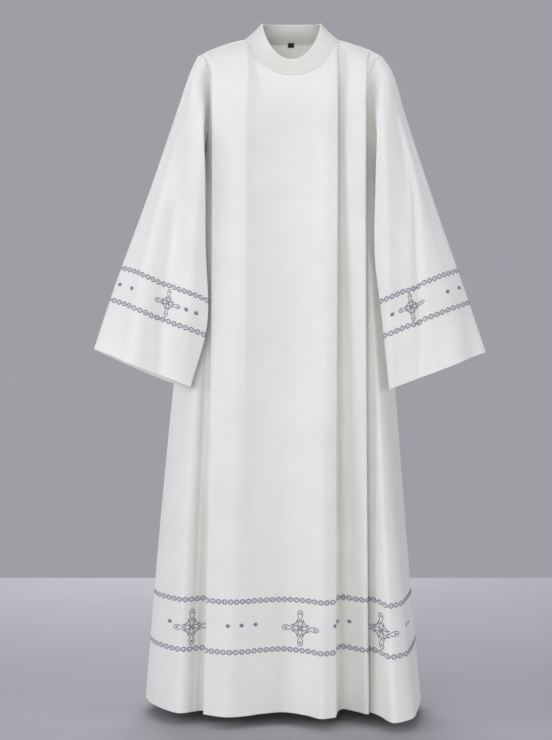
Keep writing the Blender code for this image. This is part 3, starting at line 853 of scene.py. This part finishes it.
def white_thread(name):
    """Spun polyester sewing thread: matt, with the twist of its strands 0.7 mm apart."""
    finish = {"Roughness": 0.7, "Sheen Weight": 0.2}
    tones = ("#DAD9D5", "#F3F2EF")
    twist = {"Scale": 520.0}
    return patterned(name, finish, tones, "Object", "ShaderNodeTexWave", twist, bands_direction="DIAGONAL")


def tube(name, runs, radius, material, closed=False, roundness=1):
    """A tube of cloth or thread along each run of points."""
    curve = bpy.data.curves.new(name, "CURVE")
    curve.dimensions = "3D"
    curve.bevel_depth = radius * MM
    curve.bevel_resolution = roundness
    curve.use_fill_caps = True
    curve.materials.append(material)
    for run in runs:
        spline = curve.splines.new("POLY")
        spline.points.add(len(run) - 1)
        for knot, place in zip(spline.points, np.array(run) * MM):
            knot.co = (*place, 1)
        spline.use_cyclic_u = closed
    piece = placed(name, curve)
    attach(piece, "root")


armhole_runs = [[armhole(degrees, side) for degrees in once_round(RING_CELLS)] for side in (-1, 1)]
neck_run = [neckline(degrees) for degrees in once_round(RING_CELLS)]
side_runs = [front_rows[:, 0], front_rows[:, -1]]
shoulder_runs = [[shoulder_seam(side * out, 0) for out in range(*SHOULDER_ROLL)] for side in (-1, 1)]
tube("armhole_seams", armhole_runs, ARMHOLE_ROLL_RADIUS, crepe, closed=True)
tube("neck_seam", [neck_run], NECK_ROLL_RADIUS, crepe, closed=True)
tube("collar_rolled_edge", [collar_points[-1]], COLLAR_ROLL_RADIUS, crepe, closed=True, roundness=3)
tube("body_seams", side_runs + shoulder_runs, BODY_ROLL_RADIUS, crepe)


def shown_lengths(run):
    """The distance along a run of points as it shows from in front, and at least half the true one,
    so that an embroidered band looks even where the cloth turns from the front."""
    steps = np.diff(run, axis=0)
    shown = np.maximum(np.hypot(steps[:, 0], steps[:, 2]), LEAST_SHOWN * np.linalg.norm(steps, axis=1))
    return np.cumsum([0, *shown])


class Stretch:
    """A stretch of cloth to sew on, with flat places along it and up from its edge."""

    def __init__(self, rows, low, high, thickness, closed=False):
        if closed:
            rows = np.concatenate([rows, rows[:, :1]], axis=1)
        from_edge = lengths_along(rows[::-1], 0)
        self.lift = thickness / 2
        self.heights = np.arange(low, high + STRETCH_STEP, STRETCH_STEP)
        columns = zip(from_edge.T, rows[::-1].transpose(1, 0, 2))
        self.places = np.stack([at_lengths(self.heights, ups, column) for ups, column in columns], axis=1)
        self.normals = outward_normals(self.places)
        if closed:
            self.normals[:, 0] = self.normals[:, -1] = unit(self.normals[:, 0] + self.normals[:, -1])
        middle = self.places[len(self.heights) // 2]
        self.along = shown_lengths(middle)
        self.true_along = run_lengths(middle)
        self.length = self.along[-1]
        self.closed = closed

    def beside(self, along, off):
        """How far along a place is that lies off, by its true length, from a place along."""
        return np.interp(np.interp(along, self.along, self.true_along) + off, self.true_along, self.along)

    def lay(self, flat):
        """The places on the cloth of flat points (along, up, lift)."""
        along = flat[:, 0] % self.length if self.closed else np.clip(flat[:, 0], 0, self.length)
        column = np.interp(along, self.along, np.arange(len(self.along)))
        row = np.interp(flat[:, 1], self.heights, np.arange(len(self.heights)))
        left = np.minimum(column.astype(int), len(self.along) - 2)
        lower = np.minimum(row.astype(int), len(self.heights) - 2)
        u, v = (column - left)[:, None], (row - lower)[:, None]

        def blended(grid):
            below, above = (grid[at, left] * (1 - u) + grid[at, left + 1] * u for at in (lower, lower + 1))
            return below * (1 - v) + above * v

        return blended(self.places) + unit(blended(self.normals)) * (self.lift + flat[:, 2:3])


# A stitch: its thread's places along it and out of the cloth, into which it dips at both ends.
STITCH = ((0, -STITCH_SUNK), (STITCH_LENGTH / 2, STITCH_SUNK), (STITCH_LENGTH, -STITCH_SUNK))


def sewn(stretch, up, pitch=STITCH_PITCH):
    """A row of stitches round a stretch of cloth at a height."""
    starts = np.arange(0, stretch.length - STITCH_LENGTH, pitch)
    return [stretch.lay(np.array([(start + step, up, lift) for step, lift in STITCH])) for start in starts]


def sewn_down(places, outward):
    """A row of stitches down a run of places, on the cloth's outer face."""
    down = run_lengths(places)
    steps, lifts = np.transpose(STITCH)
    starts = np.arange(0, down[-1] - STITCH_LENGTH, STITCH_PITCH)
    return [at_lengths(start + steps, down, places) + outward * lifts[:, None] for start in starts]


turning_layers = np.linspace(TURNING_TOP_LAYER, TURNING_WIDTH / (2 * PRESSED_RADIUS), TURNING_ROWS)
for side, name in ((-1, "left"), (1, "right")):
    turning = [
        [shoulder_seam(side * out, layers) for out in range(*TURNING_ACROSS)] for layers in turning_layers
    ]
    strip = cloth_sheet("shoulder_turning_" + name, np.array(turning), CLOTH_THICKNESS, crepe)
    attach(strip, "root")

sewing_thread = white_thread("white polyester sewing thread, spun")
collar_up = Stretch(collar_points[::-1], *COLLAR_STRETCH, COLLAR_THICKNESS, closed=True)
collar_down = Stretch(collar_points, *COLLAR_STRETCH, COLLAR_THICKNESS, closed=True)
collar_rows = sewn(collar_up, COLLAR_STITCH_IN) + sewn(collar_down, COLLAR_STITCH_IN)
collar_end = collar_points[:, round(COLLAR_END / 360 * COLLAR_ROUND)]
collar_end_out = unit(np.cross(collar_end[-1] - collar_end[0], (0, 1, 0)))
collar_end_out *= math.copysign(1, collar_end_out[0])
collar_rows += sewn_down(collar_end + collar_end_out * COLLAR_THICKNESS / 2, collar_end_out)
tube("collar_stitches", collar_rows, STITCH_RADIUS, sewing_thread)

before = FRONT_LINES[: [line.name for line in FRONT_LINES].index("pleat_right")]
edge_column = sum(line.cells * FINER_ACROSS + 2 * FOLD_CELLS * abs(line.side) for line in before)
pleat_edge = front_rows[:, edge_column]
pleat_edge = pleat_edge[pleat_edge[:, 2] > PLEAT_STITCHED_TO] - (PLEAT_STITCH_IN, CLOTH_THICKNESS / 2, 0)
tube("pleat_stitches", sewn_down(pleat_edge, np.array((0, -1, 0))), STITCH_RADIUS, sewing_thread)

hem_rows = []
for rows in (front_rows, back_rows):
    hem_rows += sewn(Stretch(rows, *HEM_STRETCH, CLOTH_THICKNESS), HEM_STITCH_UP, HEM_STITCH_PITCH)
for rows in sleeves.values():
    cuff = Stretch(rows, *HEM_STRETCH, CLOTH_THICKNESS, closed=True)
    hem_rows += sewn(cuff, HEM_STITCH_UP, HEM_STITCH_PITCH)
tube("hem_stitches", hem_rows, STITCH_RADIUS, sewing_thread)


# ---- Embroidered bands -----------------------------------
# Two running-scroll borders with looped crosses and groups of three dots between them, worked in
# grey-blue rayon thread round the hem and each sleeve. The satin stitches stand up from the cloth.

THREAD_RISE = 0.8
THREAD_SUNK = 0.1
STROKE_CELLS = 4
STROKE_POINT = 0.06
DOT_RADIUS = 4.5
DOT_CELLS = 12
DOT_END_WIDTH = 0.2

SCROLL_PITCH = 12.7
SCROLL_CURL = ((-0.6, -0.7), (-2.4, -0.3), (-3.5, -2.3), (-0.9, -4.5), (3.2, -3.2))
SCROLL_CELLS = (2, 2, 3, 3, 2)
SCROLL_WIDTHS = (1.5, 2.6, 2.6, 1.5)
SCROLL_TAPER = 4

CROSS_LOOP = ((0, 16), (3.6, 24), (5.4, 32), (3.6, 38), (0, 40), (-3.6, 38), (-5.4, 32), (-3.6, 24))
CROSS_CELL = ((0, 17), (2.7, 13.8), (4.7, 10.4))
CROSS_RAY = ((0.7, 0.7), (9, 9))
CROSS_ARC = ((6.4, 20), (7.4, 14.4), (10.3, 10.3), (14.4, 7.4), (20, 6.4))
CROSS_STRAND = ((6.4, 20), (4.7, 11.5), (1.2, 3))
LOOP_WIDTH = 2.1
LOOP_DOT_OUT = 32.5
LOOP_DOT_RADIUS = 2.7
LOOP_DOT_CELLS = 6
CELL_WIDTH = 1.9
RAY_WIDTH = 2.4
RAY_POINTS = 9
ARC_WIDTH = 2.5
STRAND_WIDTH = 1.9
CENTRE_RADIUS = 2.6
CENTRE_CELLS = 8
LOOP_CELLS = 3
ARC_CELLS = 4

# What a band carries: the heights above the edge of its two borders, its crosses and its dots, the
# scale of the crosses, how far its crosses and dots are widened where the cloth turns from the
# front (0 for not at all), and their places along it.
Band = namedtuple("Band", "name low high cross_up dot_up scale evened crosses dots")

HEM_HEIGHTS = (134.5, 240, 181, 190)
HEM_FRONT_DOTS = (69, 262, 291, 320, 488, 519, 546, 725, 740)
HEM_BACK_DOTS = (107, 136, 165, 290, 319, 348, 473, 502, 531)
HEM_FRONT = Band("hem_band_front", *HEM_HEIGHTS, 0.94, 1, (117, 415, 662), HEM_FRONT_DOTS)
HEM_BACK = Band("hem_band_back", *HEM_HEIGHTS, 0.94, 0, (44, 227, 411, 594), HEM_BACK_DOTS)
CUFF_HEIGHTS = (114, 187.5, 151, 151)
CUFF_LEFT = Band("cuff_band_left", *CUFF_HEIGHTS, 0.73, 1, (131, 310), (425, 14, 45, 174, 196))
CUFF_RIGHT = Band("cuff_band_right", *CUFF_HEIGHTS, 0.73, 1, (96, 269), (354, 385, 14, 224))


def embroidery_thread(name):
    """Rayon embroidery thread, laid in satin stitch: silky, with a ridge for each stitch. The real
    stitches are 0.4 mm apart, and are drawn at 0.8 mm."""
    finish = {"Roughness": 0.42, "Sheen Weight": 0.25, "Specular IOR Level": 0.5}
    tones = ("#67697A", "#8B8D9C")
    stitches = {"Scale": 390.0, "Distortion": 0.6}
    return patterned(name, finish, tones, "UV", "ShaderNodeTexWave", stitches, rise=(0.6, 0.0002))


thread = embroidery_thread("grey-blue rayon embroidery thread, satin stitch")


def satin_stroke(work, path, widths):
    """A raised stroke of satin stitch along a flat path, as wide as widths says at each of its points."""
    path = np.array(path, float)
    ahead = np.gradient(path, axis=0)
    if np.allclose(path[0], path[-1]):
        ahead[0] = ahead[-1] = path[1] - path[-2]
    aside = unit(np.stack([-ahead[:, 1], ahead[:, 0]], axis=1))
    widths = np.broadcast_to(widths, len(path))
    run = run_lengths(path)
    stitch_places = work.verts.layers.float_vector["stitch places"]
    made = bmesh.ops.create_grid(work, x_segments=len(path) - 1, y_segments=STROKE_CELLS, size=1)["verts"]
    for index, vertex in enumerate(made):
        cell, step = divmod(index, len(path))
        off = 2 * cell / STROKE_CELLS - 1
        place = path[step] + aside[step] * off * widths[step] / 2
        vertex.co = (*place, THREAD_RISE * (1 - off * off) - THREAD_SUNK)
        vertex[stitch_places] = (run[step] * MM, off * widths[step] / 2 * MM, 0)


def swelling(width, count):
    """Widths of a leaf-shaped stroke, which runs to a point at both ends."""
    return width * np.sin(np.linspace(STROKE_POINT, math.pi - STROKE_POINT, count))


def dot(work, centre, radius, cells):
    """A round filled dot."""
    off = radius * np.cos(np.linspace(math.pi, 0, cells + 1))
    path = np.stack([centre[0] + off, np.full(cells + 1, centre[1])], axis=1)
    satin_stroke(work, path, np.maximum(2 * np.sqrt(np.maximum(radius**2 - off**2, 0)), DOT_END_WIDTH))


def looped_cross(work, centre, scale):
    """Four loops round a star, joined by hollow arcs from point to point."""
    loop = smooth_curve(CROSS_LOOP, LOOP_CELLS, closed=True)
    strokes = [
        ([*loop, loop[0]], LOOP_WIDTH),
        (smooth_curve(CROSS_ARC, ARC_CELLS), ARC_WIDTH),
        (np.linspace(*CROSS_RAY, RAY_POINTS), swelling(RAY_WIDTH, RAY_POINTS)),
        (smooth_curve(CROSS_CELL, LOOP_CELLS), CELL_WIDTH),
        (smooth_curve([(-x, y) for x, y in CROSS_CELL], LOOP_CELLS), CELL_WIDTH),
        (smooth_curve(CROSS_STRAND, ARC_CELLS), STRAND_WIDTH),
        (smooth_curve([(y, x) for x, y in CROSS_STRAND], ARC_CELLS), STRAND_WIDTH),
    ]
    dot(work, centre, CENTRE_RADIUS * scale, CENTRE_CELLS)
    for quarter in (0, 90, 180, 270):
        sine, cosine = turned(quarter)
        turn = np.array(((cosine, sine), (-sine, cosine))) * scale
        dot(work, (0, LOOP_DOT_OUT) @ turn + centre, LOOP_DOT_RADIUS * scale, LOOP_DOT_CELLS)
        for path, width in strokes:
            satin_stroke(work, np.array(path) @ turn + centre, width * scale**0.5)


def running_scroll(work, length, up):
    """A border of linked eyes: each stroke curls out of one eye, rises, and curls into the next."""
    count = round(length / SCROLL_PITCH)
    pitch = length / count
    knots = [*SCROLL_CURL, (pitch / 2, 0), *[(pitch - x, -y) for x, y in SCROLL_CURL[::-1]]]
    stroke = smooth_curve(knots, [*SCROLL_CELLS, *SCROLL_CELLS[::-1]])
    end = len(stroke) - 1
    widths = np.interp(np.arange(end + 1), (0, SCROLL_TAPER, end - SCROLL_TAPER, end), SCROLL_WIDTHS)
    for eye in range(count):
        satin_stroke(work, stroke + (pitch * eye, up), widths)


def embroider(band, rows, closed=False):
    """Works a band on the rows of a piece of cloth, as one mesh of raised strokes."""
    stretch = Stretch(rows, band.low - SCROLL_PITCH, band.high + SCROLL_PITCH, CLOTH_THICKNESS, closed)
    work = bmesh.new()
    stitch_places = work.verts.layers.float_vector.new("stitch places")
    for up in (band.low, band.high):
        running_scroll(work, stretch.length, up)
    for along in band.crosses + band.dots:
        worked = len(work.verts)
        if along in band.crosses:
            looped_cross(work, np.array((0, band.cross_up)), band.scale)
        else:
            dot(work, (0, band.dot_up), DOT_RADIUS, DOT_CELLS)
        work.verts.ensure_lookup_table()
        for vertex in work.verts[worked:]:
            off = vertex.co.x
            vertex.co.x = (along + off) * band.evened + stretch.beside(along, off) * (1 - band.evened)
    laid = stretch.lay(np.array([vertex.co for vertex in work.verts])) * MM
    for vertex, place in zip(work.verts, laid):
        vertex.co = place
    stitch_map = work.loops.layers.uv.new("stitches")
    for face in work.faces:
        face.smooth = True
        for loop in face.loops:
            loop[stitch_map].uv = loop.vert[stitch_places].xy
    piece = finished_piece(band.name, work, thread)
    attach(piece, "root")


embroider(HEM_FRONT, front_rows)
embroider(HEM_BACK, back_rows[:, ::-1])
embroider(CUFF_LEFT, sleeves["sleeve_left"], closed=True)
embroider(CUFF_RIGHT, sleeves["sleeve_right"][:, ::-1], closed=True)


# ---- Floor, light and camera -----------------------------
# A plain pale studio floor and an even, low-contrast light: big soft lamps in front and behind,
# weaker ones on the left, the right and above, and the pale grey of the studio all round.

FLOOR_UP = -1.48
FLOOR_SIZE = 4.6
LAMP_TINT = (0.965, 0.98, 1.0)
LAMP_AIM = (0, 0, -0.7)
CAMERA_PLACE = (-0.031, -3.6, -0.726)
CAMERA_LENS = 79.1
CAMERA_FILM_HEIGHT = 36


def painted_floor(name):
    """Matt emulsion paint on a smooth floor: even, with the faintest clouding."""
    finish = {"Roughness": 0.9, "Specular IOR Level": 0.2}
    tones = ("#9A9A9F", "#A2A2A6")
    clouds = {"Scale": 2.0, "Detail": 4.0}
    return patterned(name, finish, tones, "Object", "ShaderNodeTexNoise", clouds)


slab = bmesh.new()
bmesh.ops.create_grid(slab, x_segments=1, y_segments=1, size=FLOOR_SIZE / 2)
floor = finished_piece("floor", slab, painted_floor("pale matt floor paint"))
floor.location.z = FLOOR_UP


def soft_lamp(name, place, size, watts):
    """A large round soft light, aimed at the middle of the robe."""
    lamp_data = bpy.data.lights.new(name, "AREA")
    lamp_data.shape = "DISK"
    lamp_data.size = size
    lamp_data.energy = watts
    lamp_data.color = LAMP_TINT
    lamp = placed(name, lamp_data)
    lamp.location = place
    lamp.rotation_euler = (Vector(LAMP_AIM) - Vector(place)).to_track_quat("-Z", "Y").to_euler()


soft_lamp("front lamp", (-1.0, -5.3, 0.4), 3.2, 120)
soft_lamp("left lamp", (-3.4, -1.6, 0.2), 2.0, 44)
soft_lamp("right lamp", (3.2, -2.2, 0.1), 2.4, 39)
soft_lamp("top lamp", (0, -1.2, 2.2), 2.4, 12)
soft_lamp("back lamp", (-0.3, 3.4, 0.8), 2.8, 115)

world = bpy.data.worlds.new("studio")
world.use_nodes = True
world.node_tree.nodes["Background"].inputs["Color"].default_value = linear("#9E9EA5")
world.node_tree.nodes["Background"].inputs["Strength"].default_value = 1.0
bpy.context.scene.world = world
bpy.context.scene.view_settings.view_transform = "Standard"

camera_data = bpy.data.cameras.new("camera")
camera_data.sensor_fit = "VERTICAL"
camera_data.sensor_height = CAMERA_FILM_HEIGHT
camera_data.lens = CAMERA_LENS
camera = placed("camera", camera_data)
camera.location = CAMERA_PLACE
camera.rotation_euler = (math.radians(90), 0, 0)
bpy.context.scene.camera = camera
